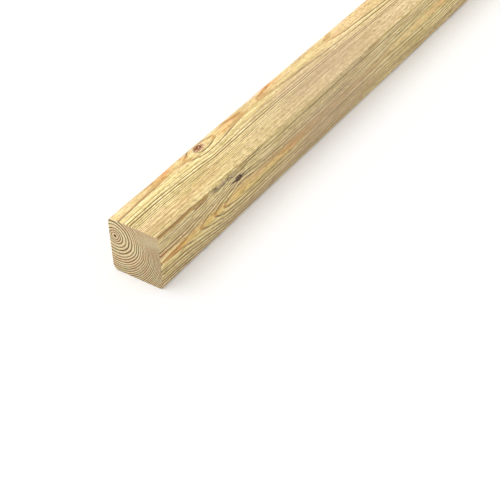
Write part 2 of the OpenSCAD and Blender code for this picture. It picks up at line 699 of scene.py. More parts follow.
GREY_STAINS_AND_SHADE = (
    (23.5, 18.0, 43.0, 22.0, 4.5, 0.5),
    # The next three are painted shade: low on the near right face, and on the right and top faces further on
    (23.5, 110.0, 4.0, 110.0, 9.0, 0.75),
    (23.5, 250.0, 20.0, 90.0, 26.0, 0.95),
    (4.0, 250.0, 50.0, 90.0, 20.0, 0.85),
    # From here on the grey blobs are dull patches in the wood
    (23.5, 760.0, 10.0, 160.0, 9.0, 0.6),
    (0.0, 1100.0, 50.0, 200.0, 12.0, 0.5),
    (0.0, 900.0, 0.0, 300.0, 14.0, 0.5),
    (23.5, 1650.0, 40.0, 200.0, 9.0, 0.6),
    (-23.5, 1250.0, 10.0, 260.0, 12.0, 0.5),
)


def blobs(points, stains):
    """The sum of soft blobs at each point."""
    total = np.zeros(len(points))
    for x_mid, y_mid, z_mid, half_length, half_width, strength in stains:
        apart = np.hypot(points[:, 0] - x_mid, points[:, 2] - z_mid) / half_width
        total += strength * np.exp(-apart ** 2 - ((points[:, 1] - y_mid) / half_length) ** 2)
    return total


print(len(ORANGE_STAINS), "orange,", len(GOLD_STAINS), "gold and", len(GREY_STAINS_AND_SHADE), "grey stains")

# %% How boldly and how closely the lines run
# The faint part lies beyond these radii and above these angles
FAINT_RADII = (22.0, 30.0)
FAINT_ANGLES = (-2.0, 12.0)
FAINT_ON_END = 0.65
FAINT_ON_FACE = 0.3
END_SKIN = 0.5
FACING = (0.5, 0.9)
# Boldness that the right face has, loses and regains along it, and lacks near its upper edge
RIGHT_BOLD = 0.55
RIGHT_LOSES = (0.6, 110.0, 190.0)
RIGHT_REGAINS = (0.3, 400.0, 600.0)
UPPER_LACKS = (0.45, 34.0, 41.0)
UPPER_REGAINS = (200.0, 300.0)
# Boldness that the top face has in its middle, with its place and half width
TOP_BOLD = (0.35, -3.0, 4.5)


def ring_boldness(points, normals):
    """How boldly lines show: faint at the upper right, bolder on the near right face and mid top face."""
    x, y, z = points.T
    across, up = pith_offset(points)
    upper_right = soft_step(np.degrees(np.arctan2(up, across)), *FAINT_ANGLES)
    faint = soft_step(np.hypot(across, up), *FAINT_RADII) * upper_right
    bold = 1 - np.where(np.minimum(y, length_mm - y) < END_SKIN, FAINT_ON_END, FAINT_ON_FACE) * faint
    on_right = RIGHT_BOLD - climb(y, *RIGHT_LOSES) + climb(y, *RIGHT_REGAINS)
    on_right -= climb(z, *UPPER_LACKS) * (1 - soft_step(y, *UPPER_REGAINS))
    bold *= 1 + on_right * soft_step(normals[:, 0], *FACING)
    return bold * (1 + bell(x, *TOP_BOLD) * soft_step(normals[:, 2], *FACING))


def skin_pace(points, normals, year, step=0.2):
    """How many years go by in each millimetre across the lines on the skin."""
    slope = [(year_at(points + step * axis) - year) / step for axis in np.eye(3)]
    slope = np.stack(slope, axis=1)
    slope -= normals * (slope * normals).sum(axis=1, keepdims=True)
    return np.linalg.norm(slope, axis=1)


def points_of(mesh):
    """All points of a mesh as an array in Blender's metres."""
    flat = np.empty(len(mesh.vertices) * 3)
    mesh.vertices.foreach_get("co", flat)
    return flat.reshape(-1, 3)


blank_points = points_of(stud.data)
points = in_mm(blank_points)
normals = np.array([vertex.normal for vertex in stud.data.vertices])
year = year_at(points)
pace = skin_pace(points, normals, year)
print(f"up to {pace.max():.2f} years in a millimetre")

# %% Attributes on the points
def store(name, values):
    """Puts one number or one vector for each point on the mesh."""
    kind, field = ("FLOAT", "value") if values.ndim == 1 else ("FLOAT_VECTOR", "vector")
    made = stud.data.attributes.new(name, kind, "POINT")
    made.data.foreach_set(field, values.astype(np.float32).ravel())


_, knot_view, deadness, knot_distance = knot_fields(points)
# The third mark is the grey blobs, which are dullness in places and painted shade in others
marks = (ring_boldness(points, normals), blobs(points, ORANGE_STAINS), blobs(points, GREY_STAINS_AND_SHADE))
store("year", year)
store("pace", pace)
store("heart", np.hypot(*pith_offset(points)))
store("knot", knot_view)
store("deadness", deadness)
store("marks", np.stack(marks, axis=1))
store("gold", blobs(points, GOLD_STAINS))
print(f"years from {year.min():.1f} to {year.max():.1f}")

# %% [markdown]
# The planer has torn the top right arris for a few centimetres beside the knot, where the grain dives. That
# is real missing wood, so it is cut into the mesh. A vertex group says where, a cloud texture that is
# stretched along the grain says how deep, and a Displace modifier pushes the skin in. An empty carries
# the stretch, and goes when the modifier has been applied. Past the knot two thin splits run on beside the
# arris, and the last of them follows it nearly all the way along.

# %% Carving with Displace
NEAR_ARRIS = 12.0
LEAST_WEIGHT = 0.001
CLOUD_DETAIL = 2


def weigh(name, weights):
    """A vertex group with its own weight on each point."""
    group = stud.vertex_groups.new(name=name)
    for index in np.flatnonzero(weights > LEAST_WEIGHT):
        group.add([int(index)], float(weights[index]), "REPLACE")
    return name


def carve(group, texture, stretch, depth_mm, middle=0.0):
    """Moves the group's points along their normals by a texture that is stretched along the grain."""
    bpy.ops.object.select_all(action="DESELECT")
    bpy.ops.object.empty_add()
    ruler = bpy.context.active_object
    ruler.scale = stretch
    bpy.context.view_layer.objects.active = stud
    push = stud.modifiers.new(group, "DISPLACE")
    push.vertex_group = group
    push.texture = texture
    push.texture_coords = "OBJECT"
    push.texture_coords_object = ruler
    push.mid_level = middle
    push.strength = depth_mm * MM
    bpy.context.view_layer.update()
    bpy.ops.object.modifier_apply(modifier=push.name)
    bpy.data.objects.remove(ruler)


def clouds(name, cell_mm, contrast):
    """A cloud texture with cells of about that size."""
    texture = bpy.data.textures.new(name, "CLOUDS")
    texture.noise_scale = cell_mm * MM
    texture.noise_depth = CLOUD_DETAIL
    texture.contrast = contrast
    return texture


def carved_mm():
    """How far each point has moved from the blank so far."""
    return np.linalg.norm(points_of(stud.data) - blank_points, axis=1) / MM


y = points[:, 1]
below_top = high.z / MM - points[:, 2]
inside_right = high.x / MM - points[:, 0]
beside = below_top - inside_right
from_arris = below_top + inside_right
print(int((from_arris < NEAR_ARRIS).sum()), "points lie beside the top right arris")

# %% The torn arris
TORN_BEGINS = (64.0, 76.0)
TORN_ENDS = (96.0, 108.0)
TORN_WIDENS = (70.0, 92.0)
TORN_DOWN = 2.0
TORN_DOWN_MORE = 4.5
TORN_UP = (-2.5, -0.8)
TORN_EDGE = (0.6, 1.2)
TORN_DEPTH = 1.0

torn_along = soft_step(y, *TORN_BEGINS) * (1 - soft_step(y, *TORN_ENDS))
torn_down = TORN_DOWN + TORN_DOWN_MORE * soft_step(y, *TORN_WIDENS)
torn_weight = torn_along * (1 - soft_step(beside / torn_down, *TORN_EDGE)) * soft_step(beside, *TORN_UP)
torn_weight *= from_arris < NEAR_ARRIS
carve(weigh("torn_arris", torn_weight), clouds("splinters", 1.2, 2.2), (1, 6, 1), -TORN_DEPTH)
depth_torn = carved_mm()
print(f"torn {depth_torn.max():.2f} mm deep at most, on {int((depth_torn > 0.2).sum())} points")

# %% The splits beside the arris
SPLIT_WIDTH = 0.45
SPLIT_DEPTH = 0.7
SOFT_START = 4.0
SOFT_END = 6.0
STOPS_BEFORE_FAR_END = 220.0
# Where each split runs, how far beside the arris, and the height and pitch of its wave
CLOSING_RUN = (104.0, 136.0)
CLOSING_FROM = 5.2
CLOSING_SLOPE = 4.2 / 33
CLOSING_RIPPLE = (0.3, 2.6)
LONG_RUN = (138.0, length_mm - STOPS_BEFORE_FAR_END)
LONG_BESIDE = 5.1
LONG_SWAY = (0.4, 47.0)


def split_line(where, start, end):
    """1 on a thin line beside the arris, between two distances from the near end."""
    run = soft_step(y, start - SOFT_START, start + SOFT_START)
    run *= 1 - soft_step(y, end - SOFT_END, end + SOFT_END)
    return run * bell(beside, 1.0, where, SPLIT_WIDTH) * (from_arris < NEAR_ARRIS)


closing_place = CLOSING_FROM - CLOSING_SLOPE * (y - CLOSING_RUN[0])
closing_place += CLOSING_RIPPLE[0] * np.sin(y / CLOSING_RIPPLE[1])
long_place = LONG_BESIDE + LONG_SWAY[0] * np.sin(y / LONG_SWAY[1])
splits = split_line(closing_place, *CLOSING_RUN) + split_line(long_place, *LONG_RUN)
carve(weigh("splits", np.clip(splits, 0, 1)), clouds("split", 30.0, 0.5), (1, 1, 1), -SPLIT_DEPTH)
print(f"splits on {int((splits > 0.3).sum())} points")

# %% [markdown]
# Three gentler reliefs follow with the same tool. The eased arrises were never quite even, knots are harder
# than the wood that shrinks round them and stand a little proud with a sunk heart, and the saw leaves the
# ends slightly uneven.

# %% Arrises, knots and sawn ends
ARRIS_WEAR = 0.5
ARRIS_REACH = 4.0
# Places on a knot are in shares of its half width
HEART_FADES = (0.0, 0.55)
HEART_DEPTH = 1.3
CROWN_AT = 1.1
CROWN_WIDTH = 0.7
CROWN_HEIGHT = 0.35
SAW_MARKS = 0.16


def arris_closeness(reach_mm):
    """1 on any of the four long edges, falling to 0 at that distance from it."""
    closest = np.full(len(points), np.inf)
    for x, z in arris_corners.values():
        closest = np.minimum(closest, np.hypot(points[:, 0] - x / MM, points[:, 2] - z / MM))
    return 1 - soft_step(closest, reach_mm * 0.4, reach_mm)


on_end = np.minimum(y, length_mm - y) < RIM / MM
carve(weigh("arrises", arris_closeness(ARRIS_REACH)), clouds("wear", 5.0, 1.5), (1, 8, 1), -ARRIS_WEAR)
knot_heart = (1 - soft_step(knot_distance, *HEART_FADES)) * ~on_end
knot_crown = bell(knot_distance, 1.0, CROWN_AT, CROWN_WIDTH) * ~on_end
carve(weigh("knot_heart", knot_heart), clouds("heart", 1.5, 2.0), (1, 1, 1), -HEART_DEPTH)
carve(weigh("knot_crown", knot_crown), clouds("crown", 8.0, 0.5), (1, 1, 1), CROWN_HEIGHT)
carve(weigh("sawn_ends", on_end * 1.0), clouds("saw", 1.2, 1.2), (3, 1, 1), SAW_MARKS, 0.5)
stud.vertex_groups.clear()
print(f"relief moves the skin by {carved_mm().max():.2f} mm at most")

# %% [markdown]
# Softwood is striped because each year's growth is pale and open in spring, and dark and dense in late
# summer, then stops. The colour climbs through the year and drops at once. Both finishes need that stripe,
# so it is a node group: it reads the year, adds the wobble of the fibres and returns the shares of late and
# of spring wood, a number that differs from year to year, and how steeply the rings are cut. The dark part
# is about as wide on the skin whatever the ring's width, so its share of the year comes from the pace that
# was stored with it.

# %% The yearly stripe
WOBBLE = 0.13
LINE_SHIFT = 0.3
WIDEST_LINE = 0.5
NARROWEST_LINE = 0.24
# Where a line begins, is full and drops, in its own widths before the end of the year
LINE_PARTS = (1.15, 0.3, 0.2)
SLOW_DARKENING = 0.12
LUCK_TURN = (1.88, 7.68)


def attribute(tree, name):
    """A number that was stored on the points."""
    return add_node(tree, "ShaderNodeAttribute", attribute_name=name).outputs["Fac"]


def attribute_parts(tree, name):
    """The three numbers of a vector that was stored on the points."""
    vector = add_node(tree, "ShaderNodeAttribute", attribute_name=name).outputs["Vector"]
    return add_node(tree, "ShaderNodeSeparateXYZ", {0: vector}).outputs


def object_place(tree):
    """Where a point lies on the stick, in metres."""
    return add_node(tree, "ShaderNodeTexCoord").outputs["Object"]


def yearly_stripe():
    """A node group that turns the year attribute into late wood and spring wood, each from 0 to 1."""
    tree = bpy.data.node_groups.new("yearly_stripe", "ShaderNodeTree")
    tree.interface.new_socket("Line mm", in_out="INPUT", socket_type="NodeSocketFloat")
    for name in ("Late", "Spring", "Luck", "Steep"):
        tree.interface.new_socket(name, in_out="OUTPUT", socket_type="NodeSocketFloat")
    line_mm = add_node(tree, "NodeGroupInput").outputs["Line mm"]
    pace = attribute(tree, "pace")
    share = maths(tree, "MINIMUM", times(tree, line_mm, pace), WIDEST_LINE)
    wobble = scaled(tree, stretched_noise(tree, object_place(tree), 420, 9, 3.0), WOBBLE * 2, -WOBBLE)
    grown = maths(tree, "ADD", attribute(tree, "year"), wobble)
    grown = scaled(tree, share, -LINE_SHIFT, grown)
    season = maths(tree, "FRACT", grown)
    luck = maths(tree, "SINE", scaled(tree, maths(tree, "FLOOR", grown), *LUCK_TURN))
    luck = scaled(tree, luck, 0.5, 0.5)
    at_least = scaled(tree, between(tree, pace, 0.22, 0.06), 0.1, NARROWEST_LINE)
    wide = maths(tree, "MAXIMUM", times(tree, share, scaled(tree, luck, 0.4, 0.8)), at_least)
    begins, full, drops = (scaled(tree, wide, -part, 1.0) for part in LINE_PARTS)
    slowly = times(tree, between(tree, season, 0.2, 1.0), SLOW_DARKENING)
    rising = scaled(tree, between(tree, season, begins, full), 1 - SLOW_DARKENING, slowly)
    late = times(tree, rising, between(tree, season, 1.0, drops))
    spring = between(tree, season, 0.4, 0.05)
    steep = between(tree, pace, 0.03, 0.24)
    add_node(tree, "NodeGroupOutput", {"Late": late, "Spring": spring, "Luck": luck, "Steep": steep})
    return tree


stripe_group = yearly_stripe()


def stripe(tree, line_mm):
    """The stripe's outputs, in a material's own tree, with lines of that width."""
    return add_node(tree, "ShaderNodeGroup", {"Line mm": line_mm}, node_tree=stripe_group).outputs


print("stripe group has", len(stripe_group.nodes), "nodes")

# %% [markdown]
# The planed faces are pale straw with tan lines. The finish is built up in layers, as on the stick: first
# the yearly lines and the fine fibres, drawn as noise that is stretched along the grain, then the stains and
# some painted shade, then the knots, one with a painted highlight, and last the marks beside the top right
# arris, among them a line of painted shade. Each layer has its own function, which takes the colour so far
# and hands back the new one.

# %% Striped wood
EARLY_WOOD = srgb(252, 228, 156)
SPRING_WOOD = srgb(255, 245, 192)
PINKISH_WOOD = srgb(246, 212, 154)
GRAIN_LIGHT = (1.16, 1.17, 1.25, 1.0)
GRAIN_DARK = (0.85, 0.82, 0.74, 1.0)
LATE_WOOD = srgb(98, 62, 28)
SLANT_WOOD = srgb(226, 184, 116)
FACE_LINE = 1.0


def grained(tree, colour, light):
    """The colour darkened or lightened by the grain: light goes from 0 to 1."""
    shade = blend_colour(tree, light, GRAIN_DARK, GRAIN_LIGHT)
    return blend_colour(tree, 1.0, colour, shade, "MULTIPLY")


def striped_wood(tree, place, marks):
    """The yearly lines and fibres. Returns the colour, the lines and the fibres."""
    yearly = stripe(tree, FACE_LINE)
    fibre = stretched_noise(tree, place, 1400, 45, 4.0, 0.65)
    drift = stretched_noise(tree, place, 60, 4)
    drift = scaled(tree, stretched_noise(tree, place, 260, 40), 0.7, drift)
    colour = blend_colour(tree, between(tree, drift, 0.70, 1.02), EARLY_WOOD, PINKISH_WOOD)
    pale = times(tree, yearly["Spring"], yearly["Steep"], 0.9)
    colour = blend_colour(tree, pale, colour, SPRING_WOOD)
    patchy = scaled(tree, stretched_noise(tree, place, 700, 25), 0.9, 0.55)
    strength = times(tree, scaled(tree, yearly["Luck"], 0.6, 0.54), patchy)
    lines = times(tree, yearly["Late"], strength, marks["X"])
    line_colour = blend_colour(tree, yearly["Steep"], SLANT_WOOD, LATE_WOOD)
    colour = blend_colour(tree, lines, colour, line_colour)
    colour = grained(tree, colour, between(tree, fibre, 0.36, 0.64))
    mottle = stretched_noise(tree, place, 620, 170)
    mottle = scaled(tree, stretched_noise(tree, place, 560, 13, 3.0), 1.5, mottle)
    colour = grained(tree, colour, between(tree, mottle, 1.06, 1.44))
    dashes = between(tree, stretched_noise(tree, place, 1000, 210), 0.55, 0.67)
    colour = blend_colour(tree, times(tree, dashes, 0.36), colour, LATE_WOOD)
    return colour, lines, fibre


print("straw", [round(value, 2) for value in EARLY_WOOD[:3]])

# %% Stains and painted shade on the wood
ORANGE_STAIN = srgb(250, 172, 116)
GOLD_STAIN = srgb(255, 226, 140)
DULL_AND_SHADED_WOOD = srgb(196, 168, 136)


def stained(tree, place, marks, colour):
    """Golden and orange resin over the wood, and grey that is dullness in places and painted shade in
    others.
    """
    blotch = between(tree, stretched_noise(tree, place, 500, 60, 3.0), 0.25, 0.6)
    gold = times(tree, attribute(tree, "gold"), scaled(tree, blotch, 0.5, 0.4))
    colour = blend_colour(tree, gold, colour, GOLD_STAIN, "MULTIPLY")
    colour = blend_colour(tree, times(tree, marks["Y"], blotch), colour, ORANGE_STAIN, "MULTIPLY")
    # Painted shade and dullness: the grey blobs pull the colour towards a dull grey brown
    greyed = times(tree, marks["Z"], scaled(tree, blotch, 0.3, 0.35))
    return blend_colour(tree, greyed, colour, DULL_AND_SHADED_WOOD)


print("resin", [round(value, 2) for value in ORANGE_STAIN[:3]])

# %% [markdown]
# A knot's colour depends on how the branch ended. The view of the nearest knot gives two shapes: an oval for
# a living branch, and for a dead one an eye whose height falls off along the grain, which leaves thin tails.
# The living knot is reddish. It has rings of its own, paler flecks and fine drying checks, and faint arcs
# lie around it. The dead one is nearly black with a paler heart, and the fibres fray its tails. A painted
# highlight lies before and above the dead knot.

# %% The shapes of a knot
OUT_OF_VIEW = 9.0
OVAL_SQUASH = 0.56


def knot_shapes(tree, place):
    """What both kinds of knot are drawn from: the view, the kind, and the shapes of oval and eye."""
    view = attribute_parts(tree, "knot")
    dead = attribute(tree, "deadness")
    ragged = scaled(tree, stretched_noise(tree, place, 420, 260, 3.0), 1.7, -0.85)
    far = scaled(tree, view["Z"], -OUT_OF_VIEW, OUT_OF_VIEW)
    oval_view = {"X": view["X"], "Y": times(tree, view["Y"], OVAL_SQUASH)}
    oval_view = add_node(tree, "ShaderNodeCombineXYZ", oval_view).outputs[0]
    smooth = add_node(tree, "ShaderNodeVectorMath", {0: oval_view}, operation="LENGTH").outputs["Value"]
    oval = maths(tree, "ADD", maths(tree, "ADD", smooth, ragged), far)
    along = maths(tree, "ABSOLUTE", view["Y"])
    eye = times(tree, maths(tree, "ABSOLUTE", view["X"]), scaled(tree, along, 0.5, 1.5))
    ending = maths(tree, "ADD", between(tree, view["Y"], -4.0, -7.0), between(tree, view["Y"], 8.0, 13.0))
    eye = scaled(tree, ending, 2.0, scaled(tree, ragged, 0.6, eye))
    eye = maths(tree, "MINIMUM", maths(tree, "ADD", eye, far), times(tree, oval, 0.88))
    return SimpleNamespace(
        view=view,
        along=along,
        dead=dead,
        live=scaled(tree, dead, -1.0, 1.0),
        ragged=ragged,
        smooth=maths(tree, "ADD", smooth, far),
        oval=oval,
        eye=eye,
        fleck=between(tree, stretched_noise(tree, place, 760, 520), 0.49, 0.58),
    )


print("knot shapes come from the attributes knot and deadness")

# %% A living knot
KNOT_WOOD = srgb(186, 108, 62)
KNOT_FLECK = srgb(252, 216, 172)
KNOT_CHECK = srgb(66, 30, 12)
KNOT_DARK = srgb(110, 56, 30)
KNOT_CREAM = srgb(252, 230, 182)


def living_knot(tree, place, knot, colour):
    """A reddish oval with rings, flecks and checks, in a creamy border that faint arcs cross."""
    rings = maths(tree, "SINE", times(tree, knot.oval, 8.0))
    check = maths(tree, "SUBTRACT", stretched_noise(tree, place, 520, 330), 0.5)
    check = between(tree, maths(tree, "ABSOLUTE", check), 0.04, 0.015)
    live_colour = blend_colour(tree, between(tree, rings, -0.4, 1.0), KNOT_WOOD, KNOT_DARK)
    live_colour = blend_colour(tree, times(tree, knot.fleck, 0.9), live_colour, KNOT_FLECK)
    live_colour = blend_colour(tree, times(tree, check, 0.85), live_colour, KNOT_CHECK)
    cream = times(tree, between(tree, knot.oval, 2.9, 1.6), knot.live, 0.45)
    colour = blend_colour(tree, cream, colour, KNOT_CREAM)
    out = scaled(tree, knot.ragged, 0.4, knot.smooth)
    arc = between(tree, maths(tree, "SINE", times(tree, out, 9.5)), 0.1, 0.9)
    arc = times(tree, arc, between(tree, out, 3.5, 2.3), between(tree, knot.ragged, -0.3, 0.3))
    colour = blend_colour(tree, times(tree, arc, knot.live, 0.9), colour, KNOT_WOOD)
    body = times(tree, between(tree, knot.oval, 1.95, 1.45), knot.live)
    return blend_colour(tree, body, colour, live_colour)


print("reddish", [round(value, 2) for value in KNOT_WOOD[:3]])

# %% A dead knot
DEAD_KNOT = srgb(54, 36, 24)
DEAD_HEART = srgb(150, 118, 86)


def dead_knot(tree, place, knot, colour):
    """A dark eye with frayed tails in a gloomy border, and a painted highlight in cream before and above it.
    """
    side, ahead = knot.view["X"], knot.view["Y"]
    # Painted highlight: a cream patch before and above the dead knot
    above = times(tree, between(tree, side, 0.2, 1.2), between(tree, side, 3.0, 1.2))
    before = times(tree, between(tree, ahead, -7.0, -2.5), between(tree, ahead, 2.0, -1.5))
    pale = times(tree, above, before, knot.dead, knot.view["Z"], 0.6)
    colour = blend_colour(tree, pale, colour, KNOT_CREAM)
    gloom = times(tree, between(tree, knot.eye, 2.0, 1.0), knot.dead, 0.3)
    colour = blend_colour(tree, gloom, colour, KNOT_DARK)
    heart = times(tree, between(tree, knot.oval, 1.0, 0.4), scaled(tree, knot.fleck, 0.5, 0.5))
    dead_colour = blend_colour(tree, heart, DEAD_KNOT, DEAD_HEART)
    fibres = between(tree, stretched_noise(tree, place, 1500, 90, 3.0, 0.6), 0.40, 0.58)
    frayed = times(tree, fibres, between(tree, knot.along, 1.4, 3.5))
    core = times(tree, between(tree, knot.eye, 1.25, 0.8), knot.dead, scaled(tree, frayed, -0.4, 1.0))
    return blend_colour(tree, core, colour, dead_colour)


print("dead brown", [round(value, 2) for value in DEAD_KNOT[:3]])

# %% [markdown]
# The marks beside the top right arris are long and thin, so they are drawn from coordinates and stay crisp
# however coarse the mesh is. Two sums give a place there: how far a point lies beside the arris, minus on
# the top face and plus on the right face, and how far along the stick. A brown band runs over the arris up
# to the torn stretch, where the fibres stand up grey, and past that come the splits, on the same lines as
# they were carved.

# %% Places beside the arris
ARRIS_CLOSE = (14.0, 11.0)


def arris_place(tree, place):
    """Millimetres beside the arris, straight and wavering, and along the stick, and 1 close to the arris."""
    spot = add_node(tree, "ShaderNodeSeparateXYZ", {0: place}).outputs
    below = scaled(tree, spot["Z"], -1 / MM, high.z / MM)
    inside = scaled(tree, spot["X"], -1 / MM, high.x / MM)
    beside = maths(tree, "SUBTRACT", below, inside)
    waver = scaled(tree, stretched_noise(tree, place, 60, 28, 3.0), 1.6, -0.8)
    return SimpleNamespace(
        beside=beside,
        wavering=maths(tree, "ADD", beside, waver),
        along=scaled(tree, spot["Y"], 1 / MM, -low.y / MM),
        close=between(tree, maths(tree, "ADD", below, inside), *ARRIS_CLOSE),
    )


def run_between(tree, along, start, end, soft=5.0):
    """1 between two distances from the near end."""
    begun = between(tree, along, start - soft, start + soft)
    return times(tree, begun, between(tree, along, end + soft, end - soft))


def thin_line(tree, beside, where, half_width):
    """1 on a line at that place beside the arris."""
    gap = maths(tree, "ABSOLUTE", maths(tree, "SUBTRACT", beside, where))
    return between(tree, gap, half_width * 1.5, half_width * 0.5)


print("arris marks reach", ARRIS_CLOSE[0], "mm round the arris")

# %% The brown band
BROWN_BAND = srgb(176, 122, 62)
BAND_OUTLINE = srgb(98, 66, 34)
BEFORE_NEAR_END = -20.0
OUTLINE_WIDTH = 0.4


def brown_band(tree, place, arris, colour):
    """A streaky band over the arris that dips onto the right face and is pinched off, with dark outlines."""
    dipping = between(tree, arris.along, 40.0, 49.0)
    upper = scaled(tree, dipping, 0.6, -0.8)
    lower = scaled(tree, between(tree, arris.along, 4.0, 30.0), 0.5, 1.6)
    lower = scaled(tree, dipping, 2.4, lower)
    lower = scaled(tree, between(tree, arris.along, 57.0, 67.0), -5.5, lower)
    under_upper = maths(tree, "SUBTRACT", arris.wavering, upper)
    over_lower = maths(tree, "SUBTRACT", lower, arris.wavering)
    streak = between(tree, stretched_noise(tree, place, 1100, 16, 3.0), 0.30, 0.62)
    band = times(tree, between(tree, under_upper, -0.2, 0.3), between(tree, over_lower, -0.2, 0.5))
    band = times(tree, band, run_between(tree, arris.along, BEFORE_NEAR_END, 63, 4.0))
    band = times(tree, band, scaled(tree, streak, 0.35, 0.55), scaled(tree, dipping, -0.3, 1.0))
    colour = blend_colour(tree, times(tree, band, arris.close), colour, BROWN_BAND)
    low_line = thin_line(tree, over_lower, 0.0, OUTLINE_WIDTH)
    low_line = times(tree, low_line, run_between(tree, arris.along, 44, 66))
    top_line = thin_line(tree, under_upper, 0.0, OUTLINE_WIDTH)
    top_line = times(tree, top_line, run_between(tree, arris.along, BEFORE_NEAR_END, 48, 8.0))
    outline = times(tree, maths(tree, "MAXIMUM", low_line, top_line), arris.close, 0.75)
    return blend_colour(tree, outline, colour, BAND_OUTLINE)


print("band", [round(value, 2) for value in BROWN_BAND[:3]])

# %% The torn fibres
TORN_LIGHT = srgb(220, 198, 156)
TORN_MIDDLE = srgb(180, 156, 118)
TORN_PIT = srgb(84, 62, 38)


def torn_fibres(tree, place, arris, colour):
    """Grey fibres with dark pits between them, and the notch that they begin with."""
    ragged = stretched_noise(tree, place, 900, 110, 3.0, 0.6)
    frayed = maths(tree, "ADD", arris.beside, scaled(tree, ragged, 5.0, -2.5))
    torn = times(tree, run_between(tree, arris.along, 68, 101), arris.close)
    torn = times(tree, torn, between(tree, frayed, -0.2, 1.2), between(tree, frayed, 6.4, 4.8))
    pits = stretched_noise(tree, place, 1000, 230)
    torn_colour = blend_colour(tree, between(tree, pits, 0.37, 0.43), TORN_PIT, TORN_MIDDLE)
    torn_colour = blend_colour(tree, between(tree, pits, 0.48, 0.56), torn_colour, TORN_LIGHT)
    colour = blend_colour(tree, times(tree, torn, 0.85), colour, torn_colour)
    notch = times(tree, run_between(tree, arris.along, 66, 74, 3.0), arris.close)
    notch = times(tree, notch, thin_line(tree, frayed, 1.3, 0.8), 0.75)
    return blend_colour(tree, notch, colour, TORN_PIT)


print("torn grey", [round(value, 2) for value in TORN_MIDDLE[:3]])

# %% The marks of the splits, and painted shade along the arris
def wave_along(tree, arris, wave):
    """A sine along the stick, given by its height and pitch."""
    height, pitch = wave
    return times(tree, maths(tree, "SINE", maths(tree, "DIVIDE", arris.along, pitch)), height)


def split_marks(tree, place, arris, colour):
    """Dark lines in the two splits, and a fainter line of painted shade that runs on along the arris."""
    slide = scaled(tree, arris.along, -CLOSING_SLOPE, CLOSING_FROM + CLOSING_SLOPE * CLOSING_RUN[0])
    slide = maths(tree, "ADD", slide, wave_along(tree, arris, CLOSING_RIPPLE))
    closing = thin_line(tree, arris.beside, slide, SPLIT_WIDTH)
    closing = times(tree, closing, run_between(tree, arris.along, *CLOSING_RUN))
    long_place = maths(tree, "ADD", wave_along(tree, arris, LONG_SWAY), LONG_BESIDE)
    long_line = thin_line(tree, arris.beside, long_place, SPLIT_WIDTH)
    long_line = times(tree, long_line, run_between(tree, arris.along, *LONG_RUN, 6.0))
    fainter = scaled(tree, between(tree, arris.along, 134, 150), -0.5, 1.0)
    # Painted shade: a thin dark line right on the arris, fainter past 150 mm
    arris_shade_line = thin_line(tree, arris.wavering, 0.2, 0.5)
    arris_shade_line = times(tree, arris_shade_line, between(tree, arris.along, 102, 110), fainter)
    drawn = maths(tree, "MAXIMUM", closing, maths(tree, "MAXIMUM", arris_shade_line, long_line))
    fading = between(tree, stretched_noise(tree, place, 20, 18), 0.25, 0.55)
    drawn = times(tree, drawn, scaled(tree, fading, 0.5, 0.2), arris.close)
    return blend_colour(tree, drawn, colour, BAND_OUTLINE)


print("arris marks run", round(LONG_RUN[1]), "mm")

# %% The planed face
FACE_ROUGHNESS = 0.66
LINES_SMOOTHER = 0.12
FACE_SHINE = 0.3
FACE_BUMP = (0.35, 0.12)


def wood_shader(tree, surface, colour, roughness, shine, height, bump):
    """Ends a finish. The bump is given by its strength and its depth in mm."""
    strength, depth_mm = bump
    bump_inputs = {"Height": height, "Strength": strength, "Distance": depth_mm * MM}
    normal = add_node(tree, "ShaderNodeBump", bump_inputs).outputs[0]
    inputs = {"Base Color": colour, "Roughness": roughness, "Normal": normal, "Specular IOR Level": shine}
    shader = add_node(tree, "ShaderNodeBsdfPrincipled", inputs).outputs[0]
    tree.links.new(shader, surface)


def planed_softwood():
    """The finish of the four long faces."""
    material, tree, surface = new_material("planed_softwood")
    place = object_place(tree)
    marks = attribute_parts(tree, "marks")
    colour, lines, fibre = striped_wood(tree, place, marks)
    colour = stained(tree, place, marks, colour)
    knot = knot_shapes(tree, place)
    for layer in (living_knot, dead_knot):
        colour = layer(tree, place, knot, colour)
    arris = arris_place(tree, place)
    for layer in (brown_band, torn_fibres, split_marks):
        colour = layer(tree, place, arris, colour)
    rough = scaled(tree, lines, -LINES_SMOOTHER, FACE_ROUGHNESS)
    height = scaled(tree, lines, 0.5, fibre)
    wood_shader(tree, surface, colour, rough, FACE_SHINE, height, FACE_BUMP)
    return material


planed = planed_softwood()
print(planed.name, "has", len(planed.node_tree.nodes), "nodes")

# %% [markdown]
# Across the grain the saw opens thousands of tiny tubes, which drink the light, so an end is greyer and
# duller than a face of the same wood. Its rings are drawn by the same stripe: they tan through the summer
# and end in a dark line that the saw has broken up. Dust and fuzz speckle it, and the pith is a small dark
# spot.

# %% The sawn end
END_WOOD = srgb(255, 236, 186)
END_GREY = srgb(254, 222, 174)
END_LINE = srgb(62, 38, 18)
END_DULL = srgb(234, 232, 232)
END_SUMMER = srgb(206, 158, 100)
END_RING = 1.4
PITH_DARK = srgb(96, 70, 46)
END_ROUGHNESS = 0.85
END_SHINE = 0.2
END_BUMP = (0.5, 0.2)


